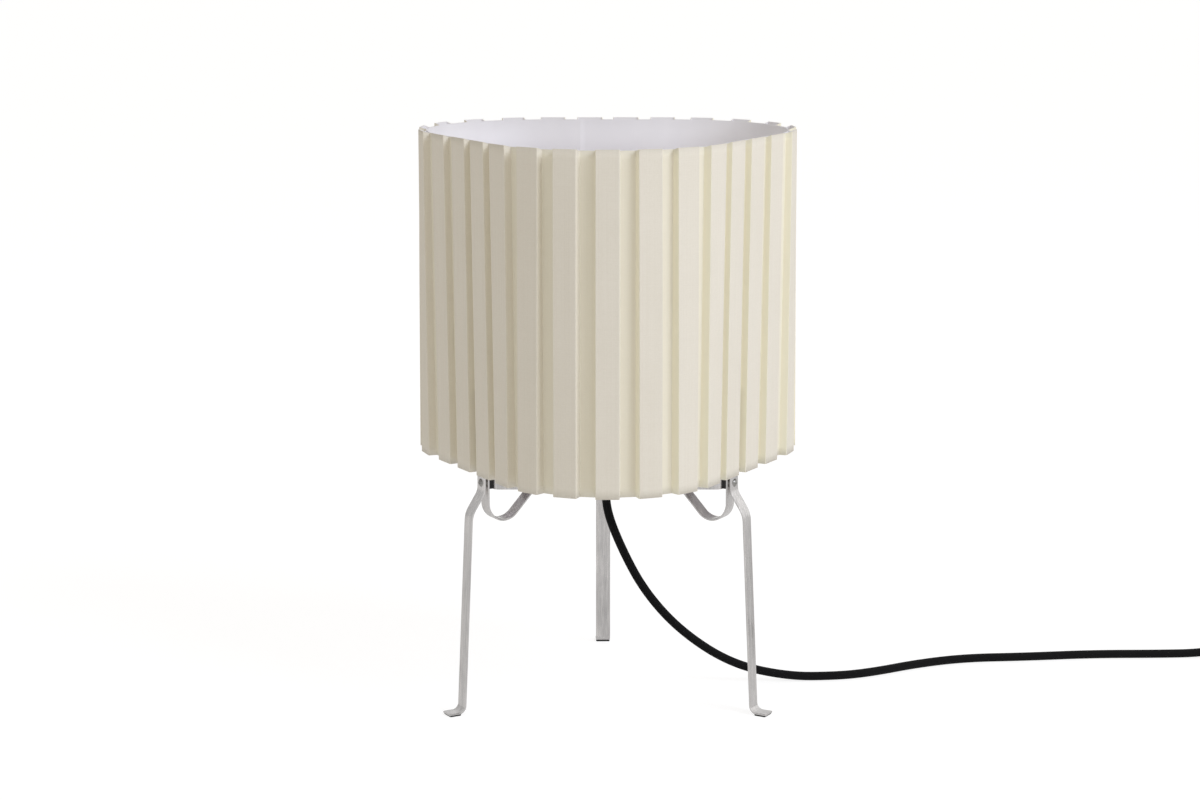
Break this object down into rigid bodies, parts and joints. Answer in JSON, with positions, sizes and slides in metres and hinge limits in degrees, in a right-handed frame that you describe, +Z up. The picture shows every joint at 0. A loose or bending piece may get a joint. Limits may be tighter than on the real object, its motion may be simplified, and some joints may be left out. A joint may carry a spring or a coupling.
{
  "type": "table lamp",
  "caption": "Table lamp with a box-pleated fabric shade on bent flat-steel legs, with a textile cord, in-line switch and plug.",
  "frame": {"origin": "centre of the bottom of the lamp's box, without its cord, on the table top", "axes": "+Z up; -Y to the front, where a rounded corner of the shade points; +X to the right, where the cord leaves"},
  "size_m": [0.7504, 0.3179, 0.3945],
  "materials": {
    "shade_fabric": "pleated off-white weave",
    "shade_lining": "smooth white lining sheet",
    "coated_wire": "white coated",
    "clear_plastic": "satin white",
    "bar_steel": "brushed lengthwise",
    "fixing_steel": "plated",
    "black_plastic": "fine moulded grain",
    "foot_rubber": "matte",
    "holder_ceramic": "glazed",
    "contact_brass": "plain",
    "bulb_opal": "opal",
    "bulb_metal": "plated",
    "cord_textile": "black braid",
    "pin_metal": "plated"
  },
  "bodies": {
    "stand": {"leg_left": "bar_steel", "leg_right": "bar_steel", "leg_back": "bar_steel", "arm_left": "bar_steel", "arm_right": "bar_steel", "arm_back": "bar_steel", "lower_ring": "bar_steel", "leg_washers": "fixing_steel", "ring_spacers": "black_plastic", "joint_screws": "fixing_steel", "joint_nuts": "fixing_steel", "foot_pads": "foot_rubber", "hub_plate": "bar_steel", "hub_screws": "fixing_steel", "threaded_nipple": "fixing_steel", "hub_nut": "fixing_steel", "cord_grip": "black_plastic", "holder_cap": "black_plastic", "holder_insulator": "holder_ceramic", "holder_body": "black_plastic", "holder_screw_shell": "contact_brass", "holder_contact": "contact_brass", "cord_run": "cord_textile", "switch_lower": "black_plastic", "switch_upper": "black_plastic", "switch_pin": "fixing_steel", "case_screws": "fixing_steel", "switch_reliefs": "black_plastic", "cord_lead": "cord_textile", "cord_coil": "cord_textile", "cord_tail": "cord_textile", "plug_relief": "black_plastic", "plug_body": "black_plastic", "plug_pins": "pin_metal", "plug_sleeves": "black_plastic"},
    "shade": {"pleated_cover": "shade_fabric", "shade_liner": "shade_lining", "hem_ring": "coated_wire", "shade_sockets": "clear_plastic"},
    "bulb": {"bulb_glass": "bulb_opal", "bulb_cap": "bulb_metal", "bulb_button": "contact_brass"},
    "rocker": {"switch_rocker": "black_plastic"}
  },
  "joints": [
    {"name": "shade_lift", "type": "slide", "parent": "stand", "child": "shade", "axis": [0, 0, 1], "range_m": [0, 0.24]},
    {"name": "bulb_out", "type": "slide", "parent": "stand", "child": "bulb", "axis": [0, 0, 1], "range_m": [0, 0.03]},
    {"name": "rocker_tilt", "type": "hinge", "parent": "stand", "child": "rocker", "pos_m": [0.498, 0.08454, 0.0105], "axis": [0, 1, 0], "range_deg": [0, 14]}
  ]
}
